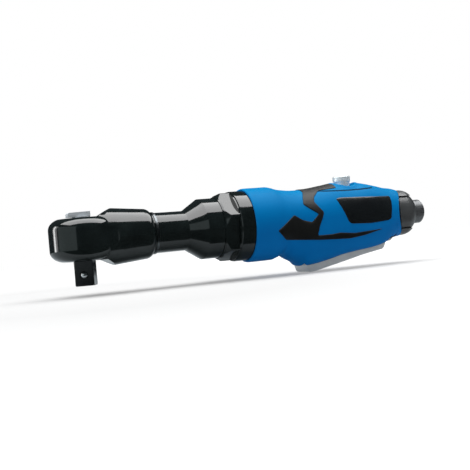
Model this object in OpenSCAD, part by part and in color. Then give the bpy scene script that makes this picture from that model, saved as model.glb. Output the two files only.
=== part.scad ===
// Air ratchet: an in-line pneumatic wrench with a square drive, built as its real assembly.
// +X runs along the tool from the head to the air inlet, +Z is up and the square drive points down.
// The origin is the middle of the square drive where it leaves the head. The modules draw about the tool's
// centreline, and raised() lifts each piece from there to its place. All sizes are in millimetres.

/* [Drive and ratchet] */
// Side of the square drive
drive_size = 12.7; // [9.5:0.1:12.7]
// Height at which the square drive ends, below the centreline
drive_end = 31; // [28:0.2:34]
// Angle about the drive axis at which the square comes to rest
drive_turn = -24; // [-45:1:45]
// Teeth inside the rocking yoke
yoke_teeth = 72; // [60:12:72]
// Swing of the rocker pawl to either side, in degrees
pawl_swing = 10; // [6:1:10]

/* [Head] */
// Radius of the rounded nose about the drive axis
nose_r = 22.3; // [21.5:0.1:24]
// Half the height between the flats of the head
head_half = 14.6; // [14.4:0.1:15]
// Radius of the barrel behind the head
barrel_r = 19.2; // [18.8:0.1:19.6]
// Radius of the slim neck
neck_r = 13.7; // [13:0.1:14.5]
// Radius of the gear case behind the neck
case_r = 21.1; // [20.6:0.1:21.4]

/* [Clamp nut] */
// Width across the flats of the clamp nut
nut_flats = 42.8; // [42:0.1:43.5]
// Radius of the smooth ring at the back of the nut
nut_ring_r = 24.8; // [24.4:0.1:24.9]
// Angle at which the hexagon rests about the centreline
nut_turn = -17.5; // [-30:0.5:30]

/* [Gears and crank] */
// Gear module
gear_module = 0.65; // [0.6:0.01:0.65]
// Teeth of the sun pinion on the rotor shaft
sun_teeth = 12; // [12:6:12]
// Teeth of each planet gear
planet_teeth = 18; // [18:6:18]
// Throw of the crank pin
crank_throw = 1.75; // [1.2:0.05:1.75]

/* [Air motor] */
// Radius of the rotor
rotor_r = 11.5; // [10.5:0.1:11.5]
// Number of vanes
vane_count = 5; // [4:1:6]
// Offset of the cylinder bore from the rotor axis
bore_offset = 1.5; // [1:0.1:1.5]

/* [Handle and throttle] */
// How much the grips and the label stand proud of the handle
skin_rise = 0.5; // [0.3:0.1:0.8]
// Thickness of the lever's sheet metal
lever_sheet = 1.5; // [1:0.1:2]
// Width of the lever
lever_width = 19.6; // [16:0.2:20]
// Station of the valve and the regulator along the tool
valve_x = 199; // [197:0.5:201]

/* [Hidden] */
$fn = 64;

// Running clearance on the radius of a turning fit, and the gap left round a fixed piece
running = 0.05;
gap = 0.05;

// Head: where the side walls end and the bevels begin, and the ends of the ramps up to the barrel
wall_half = 7;
bevel_run = 10.3;
ramp_start = 12.8;
ramp_end = 20.2;
scallop_x = 15.5;
scallop_r = 9.4;
waist_half = 18;
barrel_end = 41.5;
barrel_end_r = 17.2;
neck_start = 46.5;
cone_start = 71;
case_start = 82.5;
case_end = 94;
spigot_end = 106;
spigot_r = 19.3;

// Ratchet chamber
chamber_r = 15.8;
chamber_floor = -9.2;
spindle_bore = 9.55;
disc_r = 11.3;
disc_half = 8.3;
yoke_tip_r = 11.8;
yoke_root_r = 12.55;
yoke_r = 15.5;
fork_half_gap = 7.1;
fork_half_width = 9.6;
fork_half_height = 3.4;
fork_end = 25.5;
bushing_r = 3.2;
crank_pin_r = 1.9;
crank_bore = 12.6;
pawl_pivot = -7.6;
pawl_pin_r = 1.2;
pocket_half = 4.6;
selector_bore = 4;
detent_z = -(head_half + drive_end) / 2 - 1;
detent_r = 2.6;
detent_rise = 0.9;

// Gear train
ring_teeth = sun_teeth + 2 * planet_teeth;
planet_orbit = gear_module * (sun_teeth + planet_teeth) / 2;
backlash = 0.14;
planet_pin_r = 1.95;
planet_start = 83.4;
planet_end = 92.9;
gear_bore = 17.8;

// Motor stack along the tool
plate_start = 99.5;
cylinder_start = 109;
cylinder_end = 148;
plate_end = 156;
housing_start = 106.2;
housing_r = 20;
block_r = 16.5;
block_floor = -13;
block_step = 232;
tail_r = 13.5;
block_end = 244;
dowel_z = 15;

// Throttle and rear end
pivot_x = 230;
pivot_z = -17.5;
pivot_r = 1.5;
valve_bore = 6;
stem_r = 1.8;
stem_end = -27.8;
spring_top = 13.8;
slot_start = 156.8;
slot_end = 237;
slot_half = 10.6;
shell_rear_r = 26;
shell_rear_x = 243;
inlet_r = 9;
muffler_r = 11;
inlet_end = 265;
thread_r = 5.72;

// Sections of the handle: station, top, bottom, half width and squareness of the lower half
handle_sections = [
    [115.6, 25.5, 25.5, 25.5, 2],
    [116.2, 26.1, 26.1, 26.1, 2],
    [118.6, 26.4, 26.4, 26.4, 2],
    [134, 26.4, 26.3, 26.2, 2],
    [138, 25.6, 25.2, 25.4, 2],
    [142, 24.3, 23.8, 24.2, 2],
    [148, 23.3, 27, 22.8, 2.1],
    [154, 22.7, 30, 22, 2.5],
    [159, 22.6, 33.8, 21.8, 2.9],
    [165, 22.7, 33.2, 21.6, 3],
    [181, 24.5, 30.1, 21.6, 3],
    [189, 25.5, 28.2, 21.6, 3],
    [203, 24.6, 26.3, 21.2, 3],
    [210, 25, 25.6, 20.8, 3],
    [218, 23.7, 24.7, 20, 2.9],
    [226, 21.7, 22.8, 19, 2.8],
    [233, 19.9, 19.6, 18.1, 2.5],
    [238, 19.2, 18.3, 17.6, 2.2],
    [244, 17.5, 17.5, 17.2, 2]
];

// Lifts a piece so that the square drive's shoulder lies at the origin
module raised() translate([0, 0, head_half]) children();

// ---------- shapes that repeat ----------

// A solid of revolution about the tool's centreline, from [radius, station] points
module turned(points) rotate([0, 90, 0]) rotate_extrude() polygon(points);

// A round bar along the tool
module rod(r, x0, x1) translate([x0, 0, 0]) rotate([0, 90, 0]) cylinder(r = r, h = x1 - x0);

// A tube along the tool
module sleeve(r_out, r_in, x0, x1) {
    difference() {
        rod(r_out, x0, x1);
        rod(r_in, x0 - 1, x1 + 1);
    }
}

// A round bar along the vertical
module post(r, z0, z1) translate([0, 0, z0]) cylinder(r = r, h = z1 - z0);

// A washer or tube along the vertical
module washer(r_out, r_in, z0, z1) {
    difference() {
        post(r_out, z0, z1);
        post(r_in, z0 - 1, z1 + 1);
    }
}

// An outline drawn in side view, [x, z] points, made as wide as asked about the centreline
module side_plate(points, width) {
    rotate([90, 0, 0]) linear_extrude(height = width, center = true) polygon(points);
}

// An O-ring about the vertical
module o_ring(r, wire, z) translate([0, 0, z]) rotate_extrude() translate([r, 0]) circle(r = wire, $fn = 24);

// A helical compression spring about the vertical, swept as one solid
module coil_spring(r, wire, z0, z1, turns) {
    sides = 6;
    per_turn = 14;
    steps = turns * per_turn;
    rise = (z1 - z0 - 2 * wire) / steps;
    points = [
        for (i = [0:steps], k = [0:sides - 1])
            let (turn = 360 * i / per_turn, ring = 360 * k / sides, reach = r + wire * cos(ring))
            [reach * cos(turn), reach * sin(turn), z0 + wire + rise * i + wire * sin(ring)]
    ];
    walls = [
        for (i = [0:steps - 1], k = [0:sides - 1])
            let (next = (k + 1) % sides)
            [i * sides + k, i * sides + next, (i + 1) * sides + next, (i + 1) * sides + k]
    ];
    start = [for (k = [0:sides - 1]) sides - 1 - k];
    finish = [for (k = [0:sides - 1]) steps * sides + k];
    polyhedron(points = points, faces = concat([start], walls, [finish]));
}

// Angle whose tangent leads the involute at radius r from a base circle
function involute_angle(base, r) = r <= base ? 0 : sqrt(pow(r / base, 2) - 1) * 180 / PI - acos(base / r);

// Half the angle that a tooth fills at radius r, thinned or thickened for backlash
function tooth_half(teeth, r, slack) =
    let (pitch = gear_module * teeth / 2, base = pitch * cos(20))
    90 / teeth - slack / pitch * 90 / PI + involute_angle(base, pitch) - involute_angle(base, r);

// Outline of a gear with a tooth centred on angle 0
function gear_outline(teeth, root, tip, slack) =
    let (levels = 3)
    [
        for (t = [0:teeth - 1], side = [-1, 1], k = [0:levels])
            let (
                step = side < 0 ? k : levels - k,
                r = root + (tip - root) * step / levels,
                a = 360 * t / teeth + side * tooth_half(teeth, r, slack)
            )
            [r * cos(a), r * sin(a)]
    ];

// Outline of the yoke's fine ratchet teeth, drawn smaller by the clearance asked
function ratchet_outline(clearance) =
    [
        for (t = [0:yoke_teeth - 1], k = [0:3])
            let (
                r = (k < 2 ? yoke_root_r : yoke_tip_r) - clearance,
                a = (t + [-0.16, 0.16, 0.34, 0.66][k]) * 360 / yoke_teeth
            )
            [r * cos(a), r * sin(a)]
    ];

// An extruded gear lying along the tool
module gear_along_x(points, x0, x1) translate([x0, 0, 0]) rotate([0, 90, 0]) linear_extrude(height = x1 - x0)
    polygon(points);

// A needle bearing: drawn cup and rollers round the crankshaft
module needle_bearing(x0, x1) {
    roller_count = 14;
    sleeve(9.5, 9.1, x0, x1);
    for (i = [0:roller_count - 1])
        rotate([360 * i / roller_count, 0, 0]) translate([0, 0, 7.82]) rod(1.22, x0 + 0.8, x1 - 0.8);
}

// A deep-groove ball bearing: two races and the balls between them
module ball_bearing(r_in, r_out, x0, x1) {
    ball_count = 8;
    middle = (r_in + r_out) / 2;
    ball_r = (r_out - r_in) * 0.29;
    groove_r = ball_r + 0.04;
    difference() {
        union() {
            sleeve(r_out, middle + ball_r * 0.55, x0, x1);
            sleeve(middle - ball_r * 0.55, r_in, x0, x1);
        }
        translate([(x0 + x1) / 2, 0, 0]) rotate([0, 90, 0]) rotate_extrude() translate([middle, 0])
            circle(r = groove_r, $fn = 24);
    }
    for (i = [0:ball_count - 1])
        rotate([360 * i / ball_count, 0, 0]) translate([(x0 + x1) / 2, 0, middle]) sphere(r = ball_r, $fn = 24);
}

// ---------- head ----------

// The rounded nose: a disc about the drive axis with elliptical bevels above and below
module nose() {
    flat_r = nose_r - bevel_run;
    rise = head_half - wall_half;
    upper = [for (a = [0:10:90]) [flat_r + bevel_run * cos(a), wall_half + rise * sin(a)]];
    lower = [for (a = [90:-10:0]) [flat_r + bevel_run * cos(a), -wall_half - rise * sin(a)]];
    rotate_extrude() polygon(concat([[0, -head_half]], lower, upper, [[0, head_half]]));
}

// Barrel, neck, cone, gear case and the threaded spigot behind it
module barrel() {
    shoulder = [
        for (a = [0:15:75])
            [neck_r + (barrel_end_r - neck_r) * cos(a), barrel_end + (neck_start - barrel_end) * sin(a)]
    ];
    turned(concat(
        [[0, 0], [barrel_r, 0], [barrel_r, ramp_end]],
        shoulder,
        [
            [neck_r + 0.2, neck_start], [neck_r, cone_start], [case_r, case_start],
            [case_r, case_end], [spigot_r, case_end], [spigot_r, spigot_end], [0, spigot_end]
        ]
    ));
}

// Side outline that cuts the flats and the ramps of the head
module head_flats() {
    top = [[-40, head_half], [ramp_start, head_half], [ramp_end, barrel_r + 0.1], [30, 40], [120, 40]];
    bottom = [for (i = [len(top) - 1:-1:0]) [top[i][0], -top[i][1]]];
    side_plate(concat(top, bottom), 80);
}

module head_housing() color([0.05, 0.06, 0.06]) {
    difference() {
        intersection() {
            union() {
                nose();
                barrel();
            }
            head_flats();
        }
        for (side = [-1, 1])
            translate([scallop_x, side * (waist_half + scallop_r), 0]) post(scallop_r, -wall_half, wall_half);
        post(chamber_r, chamber_floor, 30);
        post(spindle_bore, -30, 0);
        post(16.4, 11.9, 13);
        rod(crank_bore, 5, 30.6);
        rod(9.5, 30, 46);
        rod(7.5, 45, 67);
        rod(9.5, 66, 78);
        rod(15, 77.6, 83);
        rod(gear_bore, 82.2, 110);
    }
}

// Cover plate over the ratchet chamber, with the hole for the selector
module head_cover() color([0.12, 0.12, 0.12]) washer(chamber_r - 0.1, 6.1, 9.3, 11.8);

// Internal snap ring above the cover, open at the back for its pliers' ends
module cover_retaining_ring() color("silver") {
    difference() {
        washer(16.3, 14.2, 12, 12.9);
        translate([10, -2.5, 11]) cube([10, 5, 4]);
    }
}

module upper_thrust_washer() color("silver") washer(chamber_r - 0.2, 6.4, 8.4, 9.2);

module lower_thrust_washer() color("silver") washer(chamber_r - 0.2, 9.7, -9.15, -8.4);

// ---------- drive spindle, pawl and selector ----------

// The opening in the spindle's side in which the pawl rocks
module pawl_pocket() {
    reach = 14;
    edge = concat([[0, 0]], [for (a = [125:10:235]) [reach * cos(a), reach * sin(a)]]);
    translate([0, 0, -pocket_half]) linear_extrude(height = 2 * pocket_half) polygon(edge);
}

module drive_spindle() color([0.62, 0.63, 0.66]) rotate([0, 0, drive_turn]) {
    chamfer = 0.9;
    side = drive_size;
    difference() {
        union() {
            post(disc_r, -disc_half, disc_half);
            post(spindle_bore - running, -head_half, -disc_half);
            intersection() {
                translate([-side / 2, -side / 2, -drive_end]) cube([side, side, drive_end - 5]);
                union() {
                    post(side * 0.68, -drive_end + chamfer, 0);
                    translate([0, 0, -drive_end]) cylinder(r1 = side * 0.68 - chamfer, r2 = side * 0.68, h = chamfer);
                }
            }
        }
        pawl_pocket();
        post(selector_bore, -5.5, 10);
        translate([pawl_pivot, 0, 0]) post(pawl_pin_r + 0.02, -6.5, 9);
        translate([0, 0, detent_z]) rotate([90, 0, 0]) cylinder(r = detent_r + running, h = 20);
    }
}

// Ball that snaps into the socket, on the face of the square away from +Y
module detent_ball() color("silver") rotate([0, 0, drive_turn])
    translate([0, -drive_size / 2 + detent_r - detent_rise, detent_z]) sphere(r = detent_r, $fn = 40);

// Spring behind the ball, drawn at the length it has with the ball pushed in
module detent_spring() color("silver") rotate([0, 0, drive_turn])
    translate([0, 0, detent_z]) rotate([90, 0, 0]) coil_spring(1.8, 0.15, 0, 1.1, 2);

// Rocker pawl: its arms clear the yoke at rest, and its teeth are relieved so that either end swings in freely
module pawl() color([0.5, 0.5, 0.52]) rotate([0, 0, drive_turn]) {
    outer = yoke_tip_r - 0.2;
    inner = 8.7;
    arm = 38;
    difference() {
        translate([0, 0, -pocket_half + 0.2]) linear_extrude(height = 2 * pocket_half - 0.4) {
            intersection() {
                union() {
                    difference() {
                        circle(r = outer);
                        circle(r = inner);
                    }
                    translate([pawl_pivot, 0]) circle(r = 2.4);
                }
                polygon([
                    [-4, 0], [-16, -16 * tan(arm)], [-16, 16 * tan(arm)]
                ]);
                intersection_for (share = [-1:0.1:1]) for_swing(share) polygon(ratchet_outline(0.12));
            }
        }
        translate([pawl_pivot, 0, 0]) post(pawl_pin_r + 0.05, -10, 10);
    }
}

// Carries a flat shape back from the pawl's limit to its place at rest
module for_swing(side) translate([pawl_pivot, 0]) rotate(side * pawl_swing) translate([-pawl_pivot, 0]) children();

module pawl_pin() color("silver") rotate([0, 0, drive_turn])
    translate([pawl_pivot, 0, 0]) post(pawl_pin_r, -6.4, 8.2);

// Selector: a stepped shaft in the spindle with a finger bar on top
module selector_knob() color([0.7, 0.71, 0.73]) {
    bar_top = head_half + 3.6;
    difference() {
        union() {
            post(selector_bore - running, -5, 10);
            post(6, 8.5, head_half + 0.3);
            side_plate([
                [-9.5, head_half + 0.2], [5.5, head_half + 0.2], [5.5, bar_top], [-8.6, bar_top - 0.3],
                [-9.5, bar_top - 1.1]
            ], 8);
        }
        rotate([0, 0, drive_turn]) rotate([0, -90, 0]) cylinder(r = 1.3, h = 10);
    }
}

// Plunger that bears on the pawl, in the selector's cross hole
module selector_plunger() color("silver") rotate([0, 0, drive_turn]) rotate([0, -90, 0]) {
    translate([0, 0, 2.9]) cylinder(r = 1.25, h = 0.7);
    translate([0, 0, 3.6]) cylinder(r1 = 1.25, r2 = 0.5, h = 1.3);
}

module selector_spring() color("silver") rotate([0, 0, drive_turn]) rotate([0, -90, 0])
    coil_spring(0.95, 0.2, 0.1, 2.8, 4);

// ---------- yoke and crank ----------

module ratchet_yoke() color([0.45, 0.46, 0.48]) {
    difference() {
        union() {
            post(yoke_r, -disc_half + 0.1, disc_half - 0.1);
            translate([8, -fork_half_width, -fork_half_height])
                cube([fork_end - 8, 2 * fork_half_width, 2 * fork_half_height]);
        }
        translate([17.2, -fork_half_gap, -10]) cube([20, 2 * fork_half_gap, 20]);
        rotate([0, 0, drive_turn]) translate([0, 0, -20]) linear_extrude(height = 40) polygon(ratchet_outline(0));
    }
}

module crank_bushing() color([0.72, 0.6, 0.35]) translate([0, 0, crank_throw])
    sleeve(bushing_r, crank_pin_r + running, 18, 25);

module crankshaft() color([0.6, 0.61, 0.63]) {
    difference() {
        union() {
            translate([0, 0, crank_throw]) rod(crank_pin_r, 17.6, 27);
            rod(8.6, 26.3, 30.3);
            rod(6.55, 30, 79.2);
            rod(14.3, 78.6, 83.1);
        }
        for (i = [0:2]) rotate([120 * i, 0, 0]) translate([0, 0, planet_orbit]) rod(planet_pin_r, 78, 84);
        rod(5.2, 81.5, 84);
    }
}

module front_needle_bearing() color("silver") needle_bearing(31, 45.5);

module rear_needle_bearing() color("silver") needle_bearing(67.2, 77.2);

// Bright spring ring where the neck leaves the barrel
module neck_ring() color([0.85, 0.85, 0.85]) sleeve(neck_r + 0.75, neck_r + 0.22, neck_start + 1, neck_start + 2.6);

// ---------- planetary gears ----------

module ring_gear() color([0.5, 0.51, 0.53]) {
    pitch = gear_module * ring_teeth / 2;
    difference() {
        rod(gear_bore - gap, 82.3, 95);
        gear_along_x(
            [for (p = gear_outline(ring_teeth, pitch - gear_module, pitch + 1.25 * gear_module, -backlash))
                let (a = 180 / ring_teeth) [p[0] * cos(a) - p[1] * sin(a), p[0] * sin(a) + p[1] * cos(a)]],
            80, 97
        );
    }
}

// One planet gear at its place in the carrier, a tooth space towards the sun
module planet_gear(index) color([0.75, 0.65, 0.4]) rotate([120 * index, 0, 0]) translate([0, 0, planet_orbit]) {
    pitch = gear_module * planet_teeth / 2;
    difference() {
        rotate([180 / planet_teeth, 0, 0]) gear_along_x(
            gear_outline(planet_teeth, pitch - 1.25 * gear_module, pitch + gear_module, backlash),
            planet_start, planet_end
        );
        rod(planet_pin_r + running, planet_start - 1, planet_end + 1);
    }
}

module planet_gear_1() planet_gear(0);
module planet_gear_2() planet_gear(1);
module planet_gear_3() planet_gear(2);

module planet_pins() color("silver")
    for (i = [0:2]) rotate([120 * i, 0, 0]) translate([0, 0, planet_orbit]) rod(planet_pin_r, 78.8, 93);

module gear_washer() color([0.72, 0.6, 0.35]) sleeve(16.6, 5.4, 95.1, 96.3);

// ---------- air motor ----------

module rotor() color([0.55, 0.56, 0.58]) {
    pitch = gear_module * sun_teeth / 2;
    gear_along_x(gear_outline(sun_teeth, pitch - 1.25 * gear_module, pitch + gear_module, backlash), 84, 93.6);
    rod(3, 93.5, 101);
    rod(4 - running, 101, 109.3);
    difference() {
        rod(rotor_r, cylinder_start + 0.2, cylinder_end - 0.2);
        for (i = [0:vane_count - 1])
            rotate([360 * i / vane_count, 0, 0]) translate([100, -0.8, 5.6]) cube([60, 1.6, 10]);
    }
    rod(3.5 - running, cylinder_end - 0.5, 155);
}

// Vanes, drawn pushed home in their slots
module vanes() color([0.35, 0.22, 0.12])
    for (i = [0:vane_count - 1])
        rotate([360 * i / vane_count, 0, 0])
            translate([cylinder_start + 0.3, -0.72, 5.7]) cube([cylinder_end - cylinder_start - 0.6, 1.44, 5.7]);

module front_end_plate() color([0.6, 0.6, 0.62]) {
    difference() {
        rod(gear_bore - gap, plate_start, cylinder_start);
        rod(8.02, 101.4, 107.6);
        rod(4.6, 90, 120);
        translate([0, 0, dowel_z]) rod(1.22, 104, 110);
    }
}

module front_bearing() color("silver") ball_bearing(4, 8, 101.5, 107.5);

module motor_cylinder() color([0.5, 0.5, 0.5]) {
    port_count = 5;
    difference() {
        rod(gear_bore - gap, cylinder_start, cylinder_end);
        translate([0, 0, -bore_offset]) rod(rotor_r + bore_offset + 0.2, cylinder_start - 1, cylinder_end + 1);
        translate([0, 0, dowel_z]) rod(1.22, 100, 160);
        for (i = [0:port_count - 1]) translate([115 + 6.5 * i, 0, 0]) rotate([90, 0, 0]) cylinder(r = 1.5, h = 30);
    }
}

module rear_end_plate() color([0.6, 0.6, 0.62]) {
    difference() {
        rod(gear_bore - gap, cylinder_end, plate_end);
        rod(7.02, 149.4, 154.6);
        rod(4, 147, 160);
        translate([0, 0, dowel_z]) rod(1.22, 140, 152);
    }
}

module rear_bearing() color("silver") ball_bearing(3.5, 7, 149.5, 154.5);

module cylinder_dowel() color("silver") translate([0, 0, dowel_z]) rod(1.2, 104.2, 151.8);

// Aluminium motor housing with the throttle block behind it
module motor_housing() color([0.72, 0.73, 0.75]) {
    difference() {
        union() {
            rod(housing_r, housing_start, 162);
            rod(21.4, housing_start, 109);
            difference() {
                union() {
                    rod(block_r, 161, block_step);
                    rod(tail_r, block_step - 1, block_end);
                }
                translate([150, -30, -40]) cube([120, 60, 40 + block_floor]);
            }
            translate([valve_x, 0, 0]) post(8.5, 0, 21.5);
            translate([valve_x, 0, 0]) post(7.8, -20, 0);
            for (side = [-1, 1])
                side_plate_at(side * 5.5, 3, [
                    [224, -12], [225.5, -18.5], [228, -20.5], [232, -20.5], [233.5, -18.5], [233.5, -13.1],
                    [231.9, -13.1], [231.9, -12]
                ]);
            rod(12, block_end - 1, 250);
        }
        rod(gear_bore, 100, 157);
        translate([valve_x, 0, 0]) post(valve_bore, -25, 25);
        translate([valve_x, 0, 0]) post(6.7, 20.2, 21);
        translate([0, 0, -9.5]) rod(2.6, 150, valve_x);
        rod(4.5, valve_x, 240);
        rod(7, 238, 260);
        rod(7.9, 248.8, 260);
        for (side = [-1, 1]) translate([0, side * 8.6, 5.5]) rod(2.4, 150, 260);
        translate([pivot_x, 0, pivot_z]) rotate([90, 0, 0]) cylinder(r = pivot_r, h = 40, center = true);
    }
}

// A side plate whose middle lies off the centreline
module side_plate_at(y, width, points) translate([0, y, 0]) side_plate(points, width);

module clamp_nut() color([0.06, 0.06, 0.07]) {
    hex_r = nut_flats / sqrt(3);
    difference() {
        union() {
            intersection() {
                translate([95, 0, 0]) rotate([nut_turn, 0, 0]) rotate([90, 0, 90]) cylinder(r = hex_r, h = 10, $fn = 6);
                turned([[0, 90], [case_r + 0.6, 94.2], [hex_r - 0.4, 98.3], [hex_r - 0.4, 110], [0, 110]]);
            }
            turned([[0, 94.2], [case_r + 0.5, 94.2], [case_r + 0.9, 95.4], [0, 95.4]]);
            turned([
                [0, 104.5], [nut_ring_r - 0.9, 104.5], [nut_ring_r - 0.9, 105.4], [nut_ring_r - 0.2, 105.9],
                [nut_ring_r, 107], [nut_ring_r, 115.8], [0, 115.8]
            ]);
        }
        rod(spigot_r + gap, 90, 106.1);
        rod(21.5, 106, 109.2);
        rod(housing_r + gap, 106, 120);
    }
}

// ---------- handle ----------

// One ring of points round the handle, grown outwards by the amount asked
function handle_ring(section, grow, count) =
    let (half = section[3] + grow)
    [
        for (i = [0:count - 1])
            let (
                a = 360 * i / count,
                power = 2 / (sin(a) < 0 ? section[4] : 2),
                reach = (sin(a) < 0 ? section[2] : section[1]) + grow
            )
            [
                section[0],
                half * sign(cos(a)) * pow(abs(cos(a)), power),
                reach * sign(sin(a)) * pow(abs(sin(a)), power)
            ]
    ];

// The handle's outer form, lofted through its sections
module handle_form(grow) {
    count = 40;
    last = len(handle_sections) - 1;
    points = [for (section = handle_sections) each handle_ring(section, grow, count)];
    walls = [
        for (s = [0:last - 1], i = [0:count - 1])
            let (next = (i + 1) % count)
            for (face = [
                [s * count + i, (s + 1) * count + i, s * count + next],
                [s * count + next, (s + 1) * count + i, (s + 1) * count + next]
            ]) face
    ];
    front = [for (i = [0:count - 1]) i];
    back = [for (i = [count - 1:-1:0]) last * count + i];
    polyhedron(points = points, faces = concat([front], walls, [back]));
}

module handle_shell() color([0, 0.42, 0.72]) {
    difference() {
        intersection() {
            handle_form(0);
            translate([shell_rear_x - shell_rear_r, 0, 0]) union() {
                post(shell_rear_r, -60, 60);
                translate([-200, -60, -60]) cube([200, 120, 120]);
            }
        }
        rod(nut_ring_r + 0.1, 110, 116);
        rod(housing_r + gap, 110, 162.1);
        rod(block_r + gap, 160, block_step + gap);
        rod(tail_r + gap, block_step, 250);
        translate([valve_x, 0, 0]) post(8.6, -1, 21.6);
        translate([valve_x, 0, 0]) post(6.2, 0, 40);
        translate([slot_start, -slot_half, -60]) cube([slot_end - slot_start, 2 * slot_half, 60 + block_floor]);
        translate([pivot_x, 0, pivot_z]) rotate([90, 0, 0]) cylinder(r = pivot_r, h = 25.2, center = true);
    }
}

// Cuts a skin of the handle's surface to an outline in side view, on both sides
module handle_skin(outline) {
    difference() {
        intersection() {
            handle_form(skin_rise);
            side_plate(outline, 80);
        }
        handle_form(0);
    }
}

// Soft grip inlays: an arrow patch with a tapering tail, and a stripe that climbs from it to the crest
module rubber_grips() color([0.12, 0.11, 0.1])
    handle_skin([
        [131.3, -5.9], [146, 4.3], [153, 0.3], [160.3, -1.7], [166.4, 3.6], [160.2, 7.7], [155.7, 11.3],
        [157.5, 16.1], [160.8, 20.7], [161, 30], [188, 30], [188, 21.8], [173, 20.6], [166.9, 16.2],
        [165.1, 12.5], [167.8, 8.6], [170.8, 4.7], [169.5, 1.2], [166.4, -5], [164.3, -11.6], [176.5, -11.5],
        [182.3, -10.9], [194.9, -12.2], [220.5, -10.7], [203.7, -14.4], [190.7, -15.9], [165.8, -14.9],
        [138.5, -12.7]
    ]);

// Dark side panels, left blank
module label_panels() color([0.1, 0.1, 0.11])
    handle_skin([
        [183, 13.6], [186, 14.4], [230.4, 12.9], [230.6, 9.8], [228.1, -3.7], [225.6, -5], [209.9, -6.1],
        [192.7, -5.3], [190.3, -3.9]
    ]);

// ---------- throttle ----------

module throttle_lever() color([0.75, 0.76, 0.78]) {
    outline = [
        [158.6, -32.4], [159.6, -36], [161.3, -37.7], [167.8, -36.8], [178, -34.7], [195, -31.2], [204, -29.2],
        [213, -27.6], [223.6, -25.9], [225, -24.6], [227, -20.6], [231.5, -20], [233.2, -17.5], [231.8, -14.2],
        [227, -13.8], [220, -20], [168, -28.5], [158.8, -28.5]
    ];
    hollow = [
        [160.3, -28], [160.2, -32.3], [161.7, -36.1], [167.6, -35.3], [177.7, -33.2], [194.7, -29.7],
        [203.7, -27.7], [212.8, -26.1], [222.9, -24.4], [224, -22], [240, -22], [240, -10], [160.3, -10]
    ];
    difference() {
        side_plate(outline, lever_width);
        side_plate(hollow, lever_width - 2 * lever_sheet);
        translate([pivot_x, 0, pivot_z]) rotate([90, 0, 0]) cylinder(r = pivot_r + running, h = 40, center = true);
    }
}

module lever_pin() color("silver")
    translate([pivot_x, 0, pivot_z]) rotate([90, 0, 0]) cylinder(r = pivot_r, h = 25, center = true);

module valve_stem() color([0.75, 0.68, 0.4]) translate([valve_x, 0, 0]) {
    post(stem_r, stem_end, -1.9);
    post(4.2, -2, 0.6);
    post(1.4, 0.5, 3.4);
}

module valve_seat() color([0.72, 0.6, 0.35]) translate([valve_x, 0, 0]) washer(valve_bore - gap, 2.9, -7, -2.1);

module stem_guide() color([0.72, 0.6, 0.35]) translate([valve_x, 0, 0])
    washer(valve_bore - gap, stem_r + running, -19.8, -13);

module valve_spring() color("silver") translate([valve_x, 0, 0]) coil_spring(3.1, 0.4, 0.7, spring_top, 6);

// Regulator: a chromed knob on a plug whose half skirt covers the inlet port as it turns
module regulator_knob() color([0.85, 0.86, 0.88]) translate([valve_x, 0, 0]) {
    difference() {
        rotate_extrude() polygon([
            [0, 8], [valve_bore - running, 8], [valve_bore - running, 16.4], [4.95, 16.4], [4.95, 17.8],
            [valve_bore - running, 17.8], [valve_bore - running, 20.1], [4.95, 20.1], [4.95, 21.1],
            [valve_bore - running, 21.1], [valve_bore - running, 25.6], [6.5, 27.2], [6.6, 30.2], [6.1, 30.7],
            [0, 30.7]
        ]);
        post(4.6, 7, spring_top + 0.1);
        translate([-0.6, -8, 30.1]) cube([1.2, 16, 2]);
    }
    difference() {
        washer(valve_bore - running, 5, 1.6, 8.2);
        translate([0, -10, 0]) cube([20, 20, 8]);
    }
}

module regulator_oring() color([0.1, 0.1, 0.1]) translate([valve_x, 0, 0]) o_ring(5.44, 0.48, 17.1);

module regulator_clip() color("silver") translate([valve_x, 0, 0]) {
    difference() {
        washer(6.6, 5.05, 20.3, 20.9);
        translate([2, -1.5, 15]) cube([10, 3, 10]);
    }
}

// ---------- rear end ----------

// Exhaust deflector cap, with recessed sides between its upper and lower lips
module rear_cap() color([0.2, 0.2, 0.21]) {
    vent_count = 12;
    lips = [
        [0, 236], [17.2, 236], [17.2, 247], [16.9, 249], [16.2, 251], [14.8, 253], [13.4, 254.4],
        [11.6, 255.5], [10.4, 255.9], [0, 255.9]
    ];
    sides = [for (p = lips) [max(p[0] - 1.1, 0), p[1]]];
    difference() {
        union() {
            turned(sides);
            difference() {
                turned(lips);
                translate([230, -40, -12.4]) cube([40, 80, 24.8]);
            }
        }
        translate([shell_rear_x - shell_rear_r, 0, 0]) post(shell_rear_r + 0.4, -60, 60);
        rod(tail_r + gap, 230, 250.2);
        rod(muffler_r + gap, 250, 253.2);
        rod(inlet_r + 0.1, 240, 270);
        for (i = [0:vent_count - 1])
            rotate([360 * (i + 0.5) / vent_count, 0, 0]) translate([0, 0, inlet_r + 1.7]) rod(0.8, 250, 270);
    }
}

// Porous ring that quietens the exhaust
module muffler() color([0.75, 0.72, 0.62]) sleeve(muffler_r, inlet_r + 0.3, 250.3, 253.1);

module inlet_bushing() color([0.3, 0.3, 0.32]) {
    difference() {
        turned([
            [0, 239.6], [6.95, 239.6], [6.95, 250.1], [inlet_r, 250.1], [inlet_r, inlet_end - 1.3], [inlet_r - 1.3, inlet_end],
            [0, inlet_end]
        ]);
        rod(thread_r, inlet_end - 12, inlet_end + 1);
        rod(4, 230, inlet_end);
        for (side = [-1, 1]) translate([inlet_end - 4.5, side * (inlet_r + 1.4) - 2, -2]) cube([6, 4, 4]);
    }
}

// Strainer disc at the bottom of the inlet
module inlet_screen() color("silver") {
    difference() {
        rod(6.8, 238.2, 239.2);
        rod(0.7, 238, 240);
        for (i = [0:5]) rotate([60 * i, 0, 0]) translate([0, 0, 2.6]) rod(0.7, 238, 240);
    }
}

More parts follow.
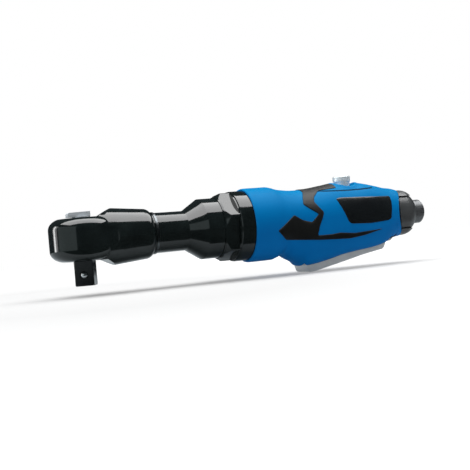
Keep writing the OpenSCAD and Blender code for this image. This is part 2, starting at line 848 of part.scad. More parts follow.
module inlet_oring() color([0.1, 0.1, 0.1]) translate([249.4, 0, 0]) rotate([0, 90, 0]) o_ring(7.42, 0.45, 0);

raised() head_housing();
raised() head_cover();
raised() cover_retaining_ring();
raised() upper_thrust_washer();
raised() lower_thrust_washer();
raised() drive_spindle();
raised() detent_ball();
raised() detent_spring();
raised() pawl();
raised() pawl_pin();
raised() selector_knob();
raised() selector_plunger();
raised() selector_spring();
raised() ratchet_yoke();
raised() crank_bushing();
raised() crankshaft();
raised() front_needle_bearing();
raised() rear_needle_bearing();
raised() neck_ring();
raised() ring_gear();
raised() planet_gear_1();
raised() planet_gear_2();
raised() planet_gear_3();
raised() planet_pins();
raised() gear_washer();
raised() rotor();
raised() vanes();
raised() front_end_plate();
raised() front_bearing();
raised() motor_cylinder();
raised() rear_end_plate();
raised() rear_bearing();
raised() cylinder_dowel();
raised() motor_housing();
raised() clamp_nut();
raised() handle_shell();
raised() rubber_grips();
raised() label_panels();
raised() throttle_lever();
raised() lever_pin();
raised() valve_stem();
raised() valve_seat();
raised() stem_guide();
raised() valve_spring();
raised() regulator_knob();
raised() regulator_oring();
raised() regulator_clip();
raised() rear_cap();
raised() muffler();
raised() inlet_bushing();
raised() inlet_screen();
raised() inlet_oring();
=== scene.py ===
"""Looks of the air ratchet.

A pale studio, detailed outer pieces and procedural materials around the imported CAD.
"""

import math

import bmesh
import bpy
from mathutils import Matrix, Vector
from mathutils.geometry import delaunay_2d_cdt


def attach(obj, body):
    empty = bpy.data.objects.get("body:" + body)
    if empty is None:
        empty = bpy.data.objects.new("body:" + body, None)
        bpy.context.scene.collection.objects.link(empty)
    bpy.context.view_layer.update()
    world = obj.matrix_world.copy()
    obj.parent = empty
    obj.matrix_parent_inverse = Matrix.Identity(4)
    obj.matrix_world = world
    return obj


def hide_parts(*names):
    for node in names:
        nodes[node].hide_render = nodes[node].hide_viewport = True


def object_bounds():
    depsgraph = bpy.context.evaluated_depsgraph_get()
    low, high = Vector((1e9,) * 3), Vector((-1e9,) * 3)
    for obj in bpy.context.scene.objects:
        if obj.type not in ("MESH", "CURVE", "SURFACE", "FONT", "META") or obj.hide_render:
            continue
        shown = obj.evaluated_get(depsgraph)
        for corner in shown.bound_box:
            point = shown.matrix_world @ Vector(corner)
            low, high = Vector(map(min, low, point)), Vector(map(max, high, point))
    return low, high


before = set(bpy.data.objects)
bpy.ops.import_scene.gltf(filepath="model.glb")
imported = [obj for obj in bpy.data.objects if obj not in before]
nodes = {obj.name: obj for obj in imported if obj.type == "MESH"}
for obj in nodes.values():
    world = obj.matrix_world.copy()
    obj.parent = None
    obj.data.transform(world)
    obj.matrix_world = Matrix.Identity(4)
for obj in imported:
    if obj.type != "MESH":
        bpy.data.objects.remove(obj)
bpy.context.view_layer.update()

MM = 0.001
AXIS_HEIGHT = 14.6

# ---------- stage ----------

VIEW_TURN = math.radians(22.5)
VIEW_ROLL = math.radians(5)
VIEW_DISTANCE = 0.640
VIEW_TARGET = Vector((0.1093, 0, 0.0085))

STAGE_MIDDLE = 0.11
STAGE_LENGTH = 3.2
STAGE_DEPTH = 2.6
FLOOR_GAP = 0.0005
CARD_LIFT = 0.001
# Dark cards on the floor: name, near edge, far edge and tone
CARDS = [
    ("near_card", -1.3, -0.033, (0.01, 0.012, 0.012)),
    ("under_card", -0.033, 0.35, (0.30, 0.33, 0.345)),
    ("far_card", 0.35, 1.3, (0.01, 0.012, 0.012)),
]


def make_camera():
    """The camera looks level at the tool's side from the drive end, rolled so that the tail rises."""
    ahead = Vector((math.sin(VIEW_TURN), math.cos(VIEW_TURN), 0))
    level_right = Vector((math.cos(VIEW_TURN), -math.sin(VIEW_TURN), 0))
    up = math.cos(VIEW_ROLL) * Vector((0, 0, 1)) + math.sin(VIEW_ROLL) * level_right
    right = ahead.cross(up)
    place = VIEW_TARGET - VIEW_DISTANCE * ahead
    data = bpy.data.cameras.new("camera")
    data.lens = 68.94
    data.sensor_width = 36
    data.clip_start = 0.01
    camera = bpy.data.objects.new("camera", data)
    camera.matrix_world = Matrix((
        (right.x, up.x, -ahead.x, place.x),
        (right.y, up.y, -ahead.y, place.y),
        (right.z, up.z, -ahead.z, place.z),
        (0, 0, 0, 1),
    ))
    bpy.context.scene.collection.objects.link(camera)
    bpy.context.scene.camera = camera


def make_softbox(name, place, aim, size, strength, tint=(1, 1, 1)):
    """A rectangular light at a place, facing another; strength is the brightness of its face."""
    data = bpy.data.lights.new(name, "AREA")
    data.shape = "RECTANGLE"
    data.size, data.size_y = size
    data.energy = strength * math.pi * size[0] * size[1]
    data.color = tint
    light = bpy.data.objects.new(name, data)
    light.location = place
    light.rotation_euler = (Vector(aim) - Vector(place)).to_track_quat("-Z", "Y").to_euler()
    light.visible_camera = False
    bpy.context.scene.collection.objects.link(light)
    return light


def make_world():
    """White behind the tool, and a dim cool room in its reflections."""
    world = bpy.data.worlds.new("studio")
    world.use_nodes = True
    tree = world.node_tree
    tree.nodes.clear()
    path = tree.nodes.new("ShaderNodeLightPath")
    seen = tree.nodes.new("ShaderNodeBackground")
    seen.inputs["Color"].default_value = (1, 1, 1, 1)
    seen.inputs["Strength"].default_value = 1.0
    room = tree.nodes.new("ShaderNodeBackground")
    room.inputs["Color"].default_value = (0.75, 0.9, 1.0, 1)
    room.inputs["Strength"].default_value = 0.04
    mix = tree.nodes.new("ShaderNodeMixShader")
    out = tree.nodes.new("ShaderNodeOutputWorld")
    tree.links.new(path.outputs["Is Camera Ray"], mix.inputs["Fac"])
    tree.links.new(room.outputs[0], mix.inputs[1])
    tree.links.new(seen.outputs[0], mix.inputs[2])
    tree.links.new(mix.outputs[0], out.inputs["Surface"])
    bpy.context.scene.world = world


def make_stage():
    """Pale floor under the tool, dark cards on it that only reflections see, and the softboxes."""
    floor_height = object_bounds()[0].z - FLOOR_GAP
    floor = plate("floor", STAGE_LENGTH, STAGE_DEPTH, (STAGE_MIDDLE, 0.0, floor_height))
    floor.data.materials.append(floor_material())
    for name, near, far, tone in CARDS:
        place = (STAGE_MIDDLE, (near + far) / 2, floor_height + CARD_LIFT)
        card = plate(name, STAGE_LENGTH, far - near, place)
        card.data.materials.append(card_material(name, tone))
        card.visible_camera = False
        card.visible_diffuse = False
        card.visible_shadow = False
    middle = (0.11, 0, 0.01)
    make_softbox("overhead", (0.11, -0.02, 0.62), middle, (1.3, 0.60), 5.5)
    make_softbox("left_strip", (-0.62, 0.36, 0.12), middle, (0.10, 0.5), 7.0)
    make_softbox("left_glow", (-0.66, 0.34, 0.12), middle, (0.28, 0.6), 2.0)
    make_softbox("left_wall", (-0.80, -0.35, 0.15), middle, (1.2, 0.7), 0.5, (0.85, 1.0, 1.0))
    fill = make_softbox("front_fill", (0.30, -0.95, 0.75), middle, (0.7, 0.35), 1.2)
    fill.visible_glossy = False
    rim = make_softbox("rear_rim", (0.25, 0.75, 0.25), middle, (1.2, 0.25), 1.5)
    rim.visible_glossy = False


def plate(name, length, depth, centre):
    """A flat rectangle facing up."""
    x, y, z = centre
    corners = [
        (x - length / 2, y - depth / 2, z),
        (x + length / 2, y - depth / 2, z),
        (x + length / 2, y + depth / 2, z),
        (x - length / 2, y + depth / 2, z),
    ]
    return mesh_object(name, corners, [(0, 1, 2, 3)])


def mesh_object(name, points, faces, smooth=False):
    """A new mesh object from points in metres."""
    mesh = bpy.data.meshes.new(name)
    mesh.from_pydata([tuple(p) for p in points], [], faces)
    mesh.validate()
    mesh.update()
    if smooth:
        mesh.shade_smooth()
    made = bpy.data.objects.new(name, mesh)
    bpy.context.scene.collection.objects.link(made)
    return made


# ---------- materials ----------


class Graph:
    """A material's node tree, with short calls for the nodes that repeat."""

    def __init__(self, name):
        self.material = bpy.data.materials.new(name)
        self.material.use_nodes = True
        self.tree = self.material.node_tree
        self.tree.nodes.clear()
        self.shader = self.add("ShaderNodeBsdfPrincipled")
        out = self.add("ShaderNodeOutputMaterial")
        self.join(self.shader.outputs["BSDF"], out.inputs["Surface"])
        coords = self.add("ShaderNodeTexCoord")
        self.place = coords.outputs["Object"]

    def add(self, kind, **values):
        node = self.tree.nodes.new(kind)
        for key, value in values.items():
            setattr(node, key, value)
        return node

    def join(self, source, target):
        self.tree.links.new(source, target)

    def stretched(self, scale):
        """The object's coordinates, scaled along each axis."""
        node = self.add("ShaderNodeMapping")
        node.inputs["Scale"].default_value = scale
        self.join(self.place, node.inputs["Vector"])
        return node.outputs["Vector"]

    def noise(self, scale, detail=3, rough=0.5, vector=None):
        node = self.add("ShaderNodeTexNoise")
        node.inputs["Scale"].default_value = scale
        node.inputs["Detail"].default_value = detail
        node.inputs["Roughness"].default_value = rough
        self.join(vector or self.place, node.inputs["Vector"])
        return node.outputs["Fac"]

    def remap(self, value, low, high, to_low, to_high):
        node = self.add("ShaderNodeMapRange")
        for key, number in zip(("From Min", "From Max", "To Min", "To Max"), (low, high, to_low, to_high)):
            node.inputs[key].default_value = number
        self.join(value, node.inputs["Value"])
        return node.outputs["Result"]

    def maths(self, operation, a, b=None):
        node = self.add("ShaderNodeMath", operation=operation)
        for index, value in enumerate((a, b)):
            if value is None:
                continue
            if isinstance(value, (int, float)):
                node.inputs[index].default_value = value
            else:
                self.join(value, node.inputs[index])
        return node.outputs["Value"]

    def blend(self, share, first, second):
        """Mixes two colours, each a tuple or a socket."""
        node = self.add("ShaderNodeMix", data_type="RGBA")
        self.join(share, node.inputs["Factor"])
        for key, value in ((6, first), (7, second)):
            if isinstance(value, tuple):
                node.inputs[key].default_value = (*value, 1)
            else:
                self.join(value, node.inputs[key])
        return node.outputs[2]

    def bump(self, height, distance, normal=None):
        node = self.add("ShaderNodeBump")
        node.inputs["Strength"].default_value = 1
        node.inputs["Distance"].default_value = distance
        self.join(height, node.inputs["Height"])
        if normal:
            self.join(normal, node.inputs["Normal"])
        return node.outputs["Normal"]

    def edges(self, low, high):
        """Near 1 on outward edges, 0 elsewhere."""
        geometry = self.add("ShaderNodeNewGeometry")
        return self.remap(geometry.outputs["Pointiness"], low, high, 0, 1)

    def set(self, key, value):
        socket = self.shader.inputs[key]
        if hasattr(value, "is_output"):
            self.join(value, socket)
        elif isinstance(value, tuple):
            socket.default_value = (*value, 1)
        else:
            socket.default_value = value


def metal(name, base, dark, rough, grain_scale, grain, brushed=None, wear=0.5, metallic=1.0):
    """Bare or plated metal: mottled tone, fine scratches along the brushing, brighter worn edges."""
    g = Graph(name)
    cloud = g.noise(90, 4)
    streak_space = g.stretched(brushed) if brushed else g.place
    streak = g.noise(grain_scale, 2, 0.6, streak_space)
    tone = g.blend(g.remap(cloud, 0.35, 0.7, 0, 1), dark, base)
    worn = g.maths("MULTIPLY", g.edges(0.505, 0.56), wear)
    bright = tuple(min(1.0, c * 1.25 + 0.03) for c in base)
    g.set("Base Color", g.blend(worn, tone, bright))
    g.set("Metallic", metallic)
    spread = g.remap(streak, 0.3, 0.7, rough * 0.8, rough * 1.3)
    smudge = g.remap(g.noise(35, 3), 0.4, 0.75, 0, rough * 0.35)
    g.set("Roughness", g.maths("ADD", spread, smudge))
    g.set("Normal", g.bump(streak, grain))
    return g.material


def plastic(name, base, shade, rough, grain_scale, grain, wear_tone=None, specular=0.5):
    """Moulded plastic or rubber: spark-eroded grain, slow tone shifts, scuffed edges."""
    g = Graph(name)
    cloud = g.noise(60, 4)
    fine = g.noise(grain_scale, 2, 0.55)
    tone = g.blend(g.remap(cloud, 0.3, 0.7, 0, 1), shade, base)
    if wear_tone:
        scuff = g.maths("MULTIPLY", g.edges(0.51, 0.58), g.remap(g.noise(400, 3), 0.4, 0.7, 0, 0.6))
        tone = g.blend(scuff, tone, wear_tone)
    g.set("Base Color", tone)
    g.set("Roughness", g.maths("ADD", g.remap(fine, 0.3, 0.7, rough * 0.9, rough * 1.1),
                               g.remap(g.noise(25, 3), 0.4, 0.75, 0, 0.06)))
    g.set("Specular IOR Level", specular)
    g.set("Normal", g.bump(fine, grain))
    return g.material


def floor_material():
    g = Graph("pale_floor")
    tone = g.blend(g.noise(8, 3), (0.32, 0.32, 0.32), (0.34, 0.34, 0.34))
    g.set("Base Color", tone)
    g.set("Roughness", 0.9)
    g.set("Specular IOR Level", 0.0)
    reach = g.add("ShaderNodeVectorMath", operation="LENGTH")
    g.join(g.place, reach.inputs[0])
    g.set("Emission Color", (1, 1, 1))
    g.set("Emission Strength", g.remap(reach.outputs["Value"], 0.15, 0.7, 0.3, 1.0))
    g.material.cycles.emission_sampling = "NONE"
    return g.material


def card_material(name, tone):
    g = Graph(name)
    g.set("Base Color", tone)
    g.set("Roughness", 1.0)
    g.set("Specular IOR Level", 0.0)
    return g.material


def black_gloss(name, base=(0.004, 0.006, 0.006), rough=0.09):
    """Glossy black coating over steel: faint orange peel, slow tone shifts, duller dusty spots."""
    g = Graph(name)
    peel = g.noise(520, 2, 0.4)
    dust = g.noise(2600, 2, 0.5)
    mottle = g.remap(g.noise(70, 4), 0.35, 0.7, 0, 1)
    tone = g.blend(mottle, base, tuple(c * 1.8 for c in base))
    g.set("Base Color", tone)
    g.set("Roughness", g.maths("ADD", g.remap(g.noise(45, 4), 0.35, 0.7, rough * 0.7, rough * 1.5),
                               g.remap(dust, 0.55, 0.7, 0, 0.05)))
    g.set("Specular IOR Level", 0.6)
    g.set("Normal", g.bump(peel, 0.000004))
    return g.material


MATERIALS = {
    "black_coated_steel": black_gloss("black_coated_steel"),
    "dark_drive_steel": black_gloss("dark_drive_steel", (0.006, 0.007, 0.008), 0.13),
    "bright_steel": metal("bright_steel", (0.56, 0.57, 0.58), (0.46, 0.47, 0.48), 0.28, 900, 0.000008,
                          (1, 0.08, 1)),
    "polished_steel": metal("polished_steel", (0.72, 0.73, 0.74), (0.64, 0.65, 0.66), 0.12, 700, 0.000004),
    "gear_steel": metal("gear_steel", (0.42, 0.42, 0.43), (0.3, 0.3, 0.31), 0.35, 800, 0.00001),
    "bronze": metal("bronze", (0.5, 0.32, 0.13), (0.38, 0.22, 0.08), 0.35, 600, 0.00001),
    "aluminium": metal("aluminium", (0.66, 0.67, 0.68), (0.56, 0.57, 0.58), 0.33, 900, 0.00001, (0.1, 1, 1)),
    "vane_resin": plastic("vane_resin", (0.16, 0.09, 0.04), (0.1, 0.055, 0.025), 0.5, 1500, 0.00002),
    "side_panel": plastic("side_panel", (0.007, 0.009, 0.010), (0.004, 0.005, 0.006), 0.22, 1800, 0.000006,
                          (0.03, 0.03, 0.03)),
    "soft_grip": plastic("soft_grip", (0.0075, 0.008, 0.008), (0.005, 0.0055, 0.0055), 0.5, 2400, 0.00004,
                         (0.04, 0.04, 0.04), 0.3),
    "lever_steel": metal("lever_steel", (0.50, 0.52, 0.53), (0.40, 0.42, 0.43), 0.24, 1100, 0.000006,
                         (0.05, 1, 1)),
    "cap_plastic": plastic("cap_plastic", (0.050, 0.053, 0.055), (0.036, 0.039, 0.041), 0.34, 2200, 0.00002,
                           (0.12, 0.12, 0.12)),
    "seal_rubber": plastic("seal_rubber", (0.015, 0.015, 0.015), (0.01, 0.01, 0.01), 0.6, 1500, 0.00003),
    "porous_felt": plastic("porous_felt", (0.55, 0.53, 0.48), (0.42, 0.40, 0.36), 0.95, 900, 0.0003),
}


def blue_material():
    """Satin blue moulded plastic, with a dark groove where the two halves of the crest meet, and painted
    light: a lighter blue on faces turned up than on faces turned sideways.
    """
    g = Graph("blue_plastic")
    cloud = g.remap(g.noise(40, 4), 0.3, 0.7, 0, 1)
    fine = g.noise(2600, 2, 0.5)
    # Painted light: faces turned up blend to a lighter, greener blue (crest) and faces turned sideways to a
    # darker blue (side), as if lit from overhead.
    facing = g.add("ShaderNodeSeparateXYZ")
    g.join(g.add("ShaderNodeNewGeometry").outputs["Normal"], facing.inputs[0])
    painted_top_light = g.remap(facing.outputs["Z"], -0.2, 0.9, 0, 1)
    side = g.blend(cloud, (0.0, 0.112, 0.35), (0.0, 0.122, 0.375))
    crest = g.blend(cloud, (0.0, 0.140, 0.325), (0.0, 0.150, 0.345))
    tone = g.blend(painted_top_light, side, crest)
    scuff = g.maths("MULTIPLY", g.edges(0.512, 0.57), g.remap(g.noise(500, 4), 0.45, 0.7, 0, 0.45))
    tone = g.blend(scuff, tone, (0.08, 0.26, 0.45))
    seam = g.add("ShaderNodeAttribute", attribute_name="seam").outputs["Fac"]
    groove = g.remap(seam, 0.25, 0.6, 1, 0)
    g.set("Base Color", g.blend(groove, tone, (0.002, 0.012, 0.03)))
    g.set("Roughness", g.maths("ADD", g.remap(fine, 0.3, 0.7, 0.42, 0.5),
                               g.remap(g.noise(22, 3), 0.4, 0.75, 0, 0.08)))
    g.set("Specular IOR Level", 0.03)
    depth = g.maths("MULTIPLY", groove, -1)
    g.set("Normal", g.bump(depth, 0.0003, g.bump(fine, 0.000012)))
    return g.material


MATERIALS["blue_plastic"] = blue_material()

# Pieces whose finish differs from the rest of their slot
OWN_FINISH = {
    "selector_knob": metal("cast_selector", (0.62, 0.66, 0.69), (0.50, 0.53, 0.56), 0.42, 900, 0.00001,
                           metallic=0.45),
    "regulator_knob": metal("satin_chrome", (0.82, 0.88, 0.90), (0.74, 0.80, 0.82), 0.30, 900, 0.000004,
                            (1, 1, 0.1), metallic=0.4),
    "throttle_lever": metal("brushed_lever", (0.68, 0.70, 0.71), (0.56, 0.58, 0.59), 0.30, 1100, 0.000006,
                            (0.05, 1, 1), metallic=0.3),
    "inlet_bushing": metal("zinc_bushing", (0.13, 0.135, 0.14), (0.05, 0.055, 0.06), 0.30, 700, 0.000008,
                           (1, 0.1, 0.1), metallic=0.5),
    "neck_ring": metal("blued_ring", (0.14, 0.15, 0.16), (0.08, 0.09, 0.09), 0.24, 900, 0.000004),
}

# ---------- CAD nodes that stay ----------

BEVELS = {
    "head_housing": 0.5, "head_cover": 0.2, "drive_spindle": 0.35, "clamp_nut": 0.35, "neck_ring": 0.15,
    "selector_knob": 0.3, "throttle_lever": 0.35, "regulator_knob": 0.3, "rear_cap": 0.4,
    "inlet_bushing": 0.3, "cover_retaining_ring": 0.1, "motor_housing": 0.3, "lever_pin": 0.2,
}


def dress_nodes():
    """Every node that stays in view gets its material, and edges as soft as a machined part's."""
    for name, thing in nodes.items():
        for slot in thing.material_slots:
            key = slot.material.name.split(".")[0]
            slot.link = "OBJECT"
            slot.material = OWN_FINISH.get(name, MATERIALS[key])
        width = BEVELS.get(name)
        if width:
            soften(thing, width)


def soften(thing, width, segments=3):
    """Rounds a piece's sharp edges without touching its mesh."""
    weld = thing.modifiers.new("weld", "WELD")
    weld.merge_threshold = 0.000005
    flat = thing.modifiers.new("flat", "DECIMATE")
    flat.decimate_type = "DISSOLVE"
    flat.angle_limit = math.radians(0.6)
    bevel = thing.modifiers.new("bevel", "BEVEL")
    bevel.width = width * MM
    bevel.segments = segments
    bevel.limit_method = "ANGLE"
    bevel.angle_limit = math.radians(24)
    bevel.use_clamp_overlap = True
    normals = thing.modifiers.new("normals", "WEIGHTED_NORMAL")
    normals.keep_sharp = False
    normals.weight = 60


# ---------- handle ----------

# Station, top, bottom, half width and squareness of the lower half, about the tool's axis
SECTIONS = [
    [115.6, 25.5, 25.5, 25.5, 2],
    [116.2, 26.1, 26.1, 26.1, 2],
    [118.6, 26.4, 26.4, 26.4, 2],
    [134, 26.4, 26.3, 26.2, 2],
    [138, 25.6, 25.2, 25.4, 2],
    [142, 24.3, 23.8, 24.2, 2],
    [148, 23.3, 27, 22.8, 2.1],
    [154, 22.7, 30, 22, 2.5],
    [159, 22.6, 33.8, 21.8, 2.9],
    [165, 22.7, 33.2, 21.6, 3],
    [181, 24.5, 30.1, 21.6, 3],
    [189, 25.5, 28.2, 21.6, 3],
    [203, 24.6, 26.3, 21.2, 3],
    [210, 25, 25.6, 20.8, 3],
    [218, 23.7, 24.7, 20, 2.9],
    [226, 21.7, 22.8, 19, 2.8],
    [233, 19.9, 19.6, 18.1, 2.5],
    [238, 19.2, 18.3, 17.6, 2.2],
    [244, 17.5, 17.5, 17.2, 2],
]
REAR_CENTRE = 217
REAR_RADIUS = 26
REAR_BLEND = 222
REAR_LIMIT = 243
FRONT = 115.6
LIP_END = 118.6
KNOB_STATION = 199
RIM_RISE, RIM_RADIUS, RIM_WIDTH = 0.75, 10.2, 1.5
DISH_DEPTH, DISH_RADIUS, DISH_EDGE = 1.0, 8, 9.6
SEAM_START, SEAM_MIDDLE, SEAM_END = 172, 197, 219
SEAM_HEIGHT, SEAM_CURVE, OFF_SEAM = 19.4, 0.0018, 9.0


def slopes(column):
    """Slopes of a smooth curve through one column of the sections that never overshoots."""
    steps = [
        (b[column] - a[column]) / (b[0] - a[0]) for a, b in zip(SECTIONS, SECTIONS[1:])
    ]
    inner = [0 if a * b <= 0 else 2 * a * b / (a + b) for a, b in zip(steps, steps[1:])]
    return [steps[0]] + inner + [steps[-1]]


SLOPES = [slopes(column) for column in range(5)]


def section_at(x):
    """Top, bottom, half width and squareness of the handle at a station."""
    index = 0
    while index < len(SECTIONS) - 2 and x > SECTIONS[index + 1][0]:
        index += 1
    first, second = SECTIONS[index], SECTIONS[index + 1]
    span = second[0] - first[0]
    t = min(max((x - first[0]) / span, 0), 1)
    values = []
    for column in range(1, 5):
        a, b = first[column], second[column]
        m, n = SLOPES[column][index] * span, SLOPES[column][index + 1] * span
        values.append(
            (2 * t ** 3 - 3 * t ** 2 + 1) * a + (t ** 3 - 2 * t ** 2 + t) * m
            + (3 * t ** 2 - 2 * t ** 3) * b + (t ** 3 - t ** 2) * n
        )
    return values


def handle_point(x, angle, grow=0.0):
    """A point of the handle's outer face, in mm about the tool's axis; angle 90 is the crest."""
    top, bottom, half, square = section_at(x)
    c, s = math.cos(angle), math.sin(angle)
    reach, power = (bottom, 2 / square) if s < 0 else (top, 1)
    y = -(half + grow) * math.copysign(abs(c) ** power, c)
    z = (reach + grow) * math.copysign(abs(s) ** power, s)
    return Vector((x, y, z))


def angle_at(x, z):
    """The angle at which the near side of the handle is at a height."""
    top, bottom, half, square = section_at(x)
    if z < 0:
        return -math.asin(min(1, -z / bottom) ** (square / 2))
    return math.asin(min(1, z / top))


def handle_normal(x, angle):
    step = 0.05
    along = handle_point(x + step, angle) - handle_point(x - step, angle)
    around = handle_point(x, angle + 0.002) - handle_point(x, angle - 0.002)
    normal = around.cross(along)
    if normal.length < 1e-9:
        return Vector((0, 0, math.copysign(1, math.sin(angle))))
    normal.normalize()
    outward = handle_point(x, angle) - Vector((x, 0, 0))
    return normal if normal.dot(outward) > 0 else -normal


def knob_seat(point):
    """How far the crest sinks or rises round the regulator, in mm."""
    if point.z < 10:
        return 0
    reach = math.hypot(point.x - KNOB_STATION, point.y)
    rim = RIM_RISE * math.exp(-((reach - RIM_RADIUS) / RIM_WIDTH) ** 2)
    if reach < DISH_RADIUS:
        return rim - DISH_DEPTH
    return rim - DISH_DEPTH * max(0, (DISH_EDGE - reach) / (DISH_EDGE - DISH_RADIUS))


def to_row(point):
    """From mm about the tool's axis to metres in the row's frame."""
    return Vector((point.x, point.y, point.z + AXIS_HEIGHT)) * MM


def seam_distance(point):
    """Distance to the dark joint that runs along the upper side, in mm."""
    if not SEAM_START < point.x < SEAM_END:
        return OFF_SEAM
    height = SEAM_HEIGHT + SEAM_CURVE * (point.x - SEAM_MIDDLE) ** 2
    return min(OFF_SEAM, abs(point.z - height))


def apply_modifiers(thing):
    """Replaces a piece's mesh with what its modifiers make of it."""
    bpy.context.view_layer.update()
    evaluated = thing.evaluated_get(bpy.context.evaluated_depsgraph_get())
    mesh = bpy.data.meshes.new_from_object(evaluated)
    thing.modifiers.clear()
    thing.data = mesh


def cut(thing, cutters):
    """Takes other solids out of a piece and throws them away."""
    for cutter in cutters:
        boolean = thing.modifiers.new("cut", "BOOLEAN")
        boolean.operation = "DIFFERENCE"
        boolean.solver = "EXACT"
        boolean.object = cutter
    apply_modifiers(thing)
    for cutter in cutters:
        bpy.data.objects.remove(cutter)


def turned(name, profile, axis="X", centre=(0, 0, 0), count=96):
    """A closed solid of revolution from (radius, station) points in mm, about X or Z."""
    points = []
    for radius, station in profile:
        for i in range(count):
            a = 2 * math.pi * i / count
            u, v = radius * math.cos(a), radius * math.sin(a)
            local = (station, u, v) if axis == "X" else (u, v, station)
            points.append(to_row(Vector(local) + Vector(centre)))
    faces = []
    for s in range(len(profile) - 1):
        for i in range(count):
            j = (i + 1) % count
            ring = s * count
            faces.append((ring + i, ring + j, ring + count + j, ring + count + i))
    last = (len(profile) - 1) * count
    faces.append(tuple(reversed(range(count))))
    faces.append(tuple(range(last, last + count)))
    made = mesh_object(name, points, faces)
    make_outward(made)
    return made


def block(name, low, high):
    """A plain box between two corners in mm, used to cut."""
    xs, ys, zs = zip(low, high)
    corners = [Vector((x, y, z)) for x in xs for y in ys for z in zs]
    faces = [(0, 1, 3, 2), (4, 6, 7, 5), (0, 4, 5, 1), (2, 3, 7, 6), (0, 2, 6, 4), (1, 5, 7, 3)]
    made = mesh_object(name, [to_row(c) for c in corners], faces)
    make_outward(made)
    return made


def make_outward(thing):
    """Turns a closed mesh's faces outwards."""
    work = bmesh.new()
    work.from_mesh(thing.data)
    bmesh.ops.recalc_face_normals(work, faces=work.faces)
    work.to_mesh(thing.data)
    work.free()


def make_handle():
    """The blue handle: a smooth loft with a rounded front lip, cut out for the works inside."""
    around = 256
    stations = [FRONT + 0.15 * i for i in range(20)] + [LIP_END + 0.6 * i for i in range(208)]
    stations = [x for x in stations if x < REAR_LIMIT]
    rings = []
    for station in stations:
        ring = []
        for i in range(around):
            angle = 2 * math.pi * i / around
            x = station
            if station > REAR_BLEND:
                share = (station - REAR_BLEND) / (REAR_LIMIT - REAR_BLEND)
                for _ in range(4):
                    y = handle_point(x, angle).y
                    end = REAR_CENTRE + math.sqrt(REAR_RADIUS ** 2 - y ** 2)
                    x = REAR_BLEND + share * (end - REAR_BLEND)
            point = handle_point(x, angle)
            ring.append(point + handle_normal(x, angle) * knob_seat(point))
        rings.append(ring)
    points = [to_row(p) for ring in rings for p in ring]
    seam = [seam_distance(p) for ring in rings for p in ring]
    faces = []
    for ring in range(len(rings) - 1):
        here, beyond = ring * around, (ring + 1) * around
        for i in range(around):
            j = (i + 1) % around
            faces.append((here + i, here + j, beyond + j, beyond + i))
    faces.append(tuple(reversed(range(around))))
    last = (len(rings) - 1) * around
    faces.append(tuple(range(last, last + around)))
    handle = mesh_object("handle", points, faces)
    attribute = handle.data.attributes.new("seam", "FLOAT", "POINT")
    attribute.data.foreach_set("value", seam)
    make_outward(handle)
    cut(handle, [
        turned("bore", [
            (24.9, 110), (24.9, 116), (20.1, 116.01), (20.1, 162.1),
            (16.6, 162.11), (16.6, 232.1), (13.6, 232.11), (13.6, 250),
        ]),
        turned("valve_bore", [(8.6, -1), (8.6, 21.6), (6.2, 21.61), (6.2, 40)], "Z", (KNOB_STATION, 0, 0)),
        block("slot", (156.8, -10.6, -60), (237, 10.6, -13)),
    ])
    finish_piece(handle, "blue_plastic", "body", "handle_shell")
    return handle


def finish_piece(piece, slot, body, *replaced):
    """Material, smooth shading with crisp corners, and the piece's place in the frame."""
    piece.data.materials.clear()
    piece.data.materials.append(MATERIALS[slot])
    piece.data.shade_smooth()
    piece.data.set_sharp_from_angle(angle=math.radians(35))
    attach(piece, body)
    if replaced:
        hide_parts(*replaced)


# ---------- inlays ----------

GRIP = [
    (131.3, -5.9), (146, 4.3), (153, 0.3), (160.3, -1.7), (166.4, 3.6), (160.2, 7.7), (155.7, 11.3),
    (157.5, 16.1), (160.8, 20.7), (161, 30), (188, 30), (188, 21.8), (173, 20.6), (166.9, 16.2),
    (165.1, 12.5), (167.8, 8.6), (170.8, 4.7), (169.5, 1.2), (166.4, -5), (164.3, -11.6), (176.5, -11.5),
    (182.3, -10.9), (194.9, -12.2), (220.5, -10.7), (203.7, -14.4), (190.7, -15.9), (165.8, -14.9),
    (138.5, -12.7),
]
PANEL = [
    (183, 13.6), (186, 14.4), (230.4, 12.9), (230.6, 9.8), (228.1, -3.7), (225.6, -5), (209.9, -6.1),
    (192.7, -5.3), (190.3, -3.9),
]
ROUND_TO = 23.0
CORNER = 1.2
SOFT_EDGE = 0.45
EDGE_ROWS = (0.18, SOFT_EDGE)
FILL_STEP, FILL_MARGIN = 0.9, 0.8
SINK = 0.03


def rounded(outline, radius, step=0.5):
    """An outline with its corners rounded, as points about a step apart."""
    count = len(outline)
    path = []
    for i in range(count):
        before, here, after = (Vector(outline[(i + k) % count]) for k in (-1, 0, 1))
        back, forth = before - here, after - here
        room = min(radius, back.length * 0.45, forth.length * 0.45)
        start, end = here + back.normalized() * room, here + forth.normalized() * room
        for k in range(7):
            t = k / 6
            path.append((1 - t) ** 2 * start + 2 * t * (1 - t) * here + t ** 2 * end)
    dense = []
    for a, b in zip(path, path[1:] + path[:1]):
        pieces = max(1, round((b - a).length / step))
        dense += [a.lerp(b, k / pieces) for k in range(pieces)]
    return dense


def border_distance(point, outline):
    """Distance from a point to an outline's nearest side; negative outside."""
    best = 1e9
    inside = False
    for a, b in zip(outline, outline[1:] + outline[:1]):
        side = b - a
        t = min(max((point - a).dot(side) / max(side.length_squared, 1e-12), 0), 1)
        best = min(best, (point - a - side * t).length)
        if (a.y > point.y) != (b.y > point.y) and point.x < a.x + (point.y - a.y) * side.x / side.y:
            inside = not inside
    return best if inside else -best


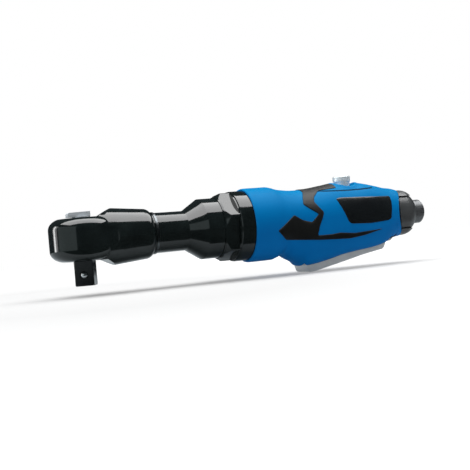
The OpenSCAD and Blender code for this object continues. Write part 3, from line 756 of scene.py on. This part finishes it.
def make_inlay(outline, rise, far):
    """A moulded patch that follows the handle's face inside an outline drawn in side view."""
    flat = [
        Vector((p.x, angle_at(p.x, p.y) * ROUND_TO)) for p in rounded(outline, CORNER)
    ]
    xs, us = [p.x for p in flat], [p.y for p in flat]
    seeds = list(flat)
    for inset in EDGE_ROWS:
        for a, here, b in zip(flat[-1:] + flat[:-1], flat, flat[1:] + flat[:1]):
            along = (b - a).normalized()
            for turn in (Vector((-along.y, along.x)), Vector((along.y, -along.x))):
                moved = here + turn * inset
                if border_distance(moved, flat) > inset * 0.8:
                    seeds.append(moved)
    x = min(xs)
    while x < max(xs):
        u = min(us)
        while u < max(us):
            here = Vector((x, u))
            if border_distance(here, flat) > FILL_MARGIN:
                seeds.append(here)
            u += FILL_STEP
        x += FILL_STEP
    loop = list(range(len(flat)))
    verts, _, faces, _, _, _ = delaunay_2d_cdt(
        seeds, [(i, (i + 1) % len(flat)) for i in loop], [loop], 1, 1e-4
    )
    side = -1 if far else 1
    points = []
    for v in verts:
        depth = max(0, border_distance(v, flat))
        soft = min(1, depth / SOFT_EDGE)
        height = rise * math.sqrt(max(0, 1 - (1 - soft) ** 2)) - SINK
        angle = min(v.y / ROUND_TO, math.pi / 2)
        where = handle_point(v.x, angle)
        where = where + handle_normal(v.x, angle) * height
        points.append(to_row(Vector((where.x, where.y * side, where.z))))
    return points, [tuple(f) for f in faces]


def make_inlays(name, slot, shapes, rise, replaced):
    """One piece that holds the same patches on both sides of the handle."""
    points, faces = [], []
    for outline in shapes:
        for far in (False, True):
            more, sheets = make_inlay(outline, rise, far)
            base = len(points)
            points += more
            faces += [tuple(base + i for i in f) for f in sheets]
    piece = mesh_object(name, points, faces)
    make_outward(piece)
    finish_piece(piece, slot, "body", replaced)
    return piece


dress_nodes()
make_handle()
make_inlays("grip_inlays", "soft_grip", [GRIP], 0.5, "rubber_grips")
make_inlays("side_panels", "side_panel", [PANEL], 0.35, "label_panels")

make_world()
make_stage()
make_camera()
bpy.context.scene.view_settings.view_transform = "Standard"
